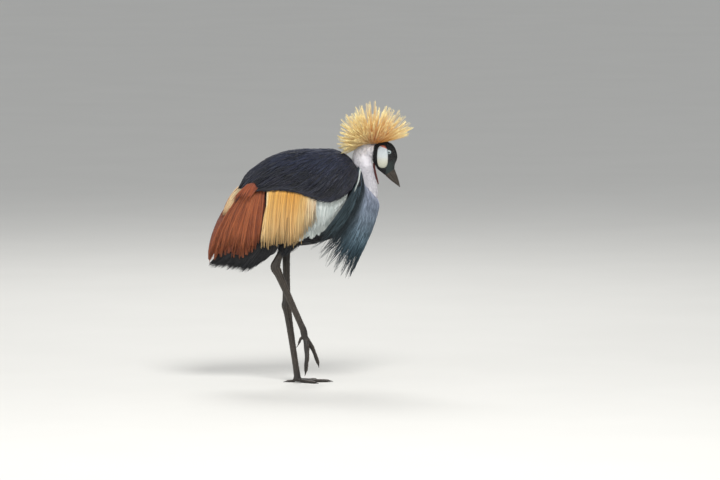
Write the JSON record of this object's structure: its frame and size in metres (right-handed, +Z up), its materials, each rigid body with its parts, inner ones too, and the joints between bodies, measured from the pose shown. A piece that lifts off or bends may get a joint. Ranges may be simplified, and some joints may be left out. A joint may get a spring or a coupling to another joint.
{
  "type": "grey crowned crane",
  "caption": "Life-size grey crowned crane in mid step, head lowered, standing on one leg, with a fanned golden crest, dark mantle, golden and chestnut wing plumes.",
  "frame": {"origin": "under the sole of the standing left foot, on the floor", "axes": "+Z up; +X the way the bird faces; +Y to the bird's left"},
  "size_m": [0.5831, 0.197, 0.8058],
  "materials": {
    "mantle_feathers": "matte",
    "body_down": "matte",
    "neck_feathers": "matte",
    "neck_plumes": "satin",
    "white_feathers": "matte",
    "gold_feathers": "satin",
    "chestnut_feathers": "satin",
    "black_feathers": "satin",
    "head_feathers": "matte",
    "crest_bristles": "satin",
    "bare_skin": "satin",
    "wattle_skin": "satin",
    "bill_horn": "satin",
    "claw_horn": "satin",
    "leg_scutes": "satin",
    "eye": "gloss"
  },
  "bodies": {
    "root": {"head": "head_feathers", "eye_left": "eye", "eye_right": "eye", "cheek_left": "bare_skin", "cheek_right": "bare_skin", "bill_upper": "bill_horn", "bill_lower": "bill_horn", "crest": "crest_bristles", "wattle": "wattle_skin", "neck_upper": "neck_feathers", "neck_lower": "neck_feathers", "hackles_left": "neck_plumes", "hackles_right": "neck_plumes", "torso": "body_down", "mantle": "mantle_feathers", "wing_coverts_left": "white_feathers", "wing_coverts_right": "white_feathers", "wing_plumes_left": "gold_feathers", "wing_plumes_right": "gold_feathers", "wing_secondaries_left": "chestnut_feathers", "wing_secondaries_right": "chestnut_feathers", "wing_primaries_left": "black_feathers", "wing_primaries_right": "black_feathers", "tail": "black_feathers", "thigh_left": "body_down", "thigh_right": "body_down", "shank_left": "leg_scutes", "shank_right": "leg_scutes", "tarsus_left": "leg_scutes", "tarsus_right": "leg_scutes", "foot_left": "leg_scutes", "foot_right": "leg_scutes", "claw_left_middle": "claw_horn", "claw_left_inner": "claw_horn", "claw_left_outer": "claw_horn", "claw_left_hind": "claw_horn", "claw_right_middle": "claw_horn", "claw_right_inner": "claw_horn", "claw_right_outer": "claw_horn", "claw_right_hind": "claw_horn"}
  },
  "joints": []
}
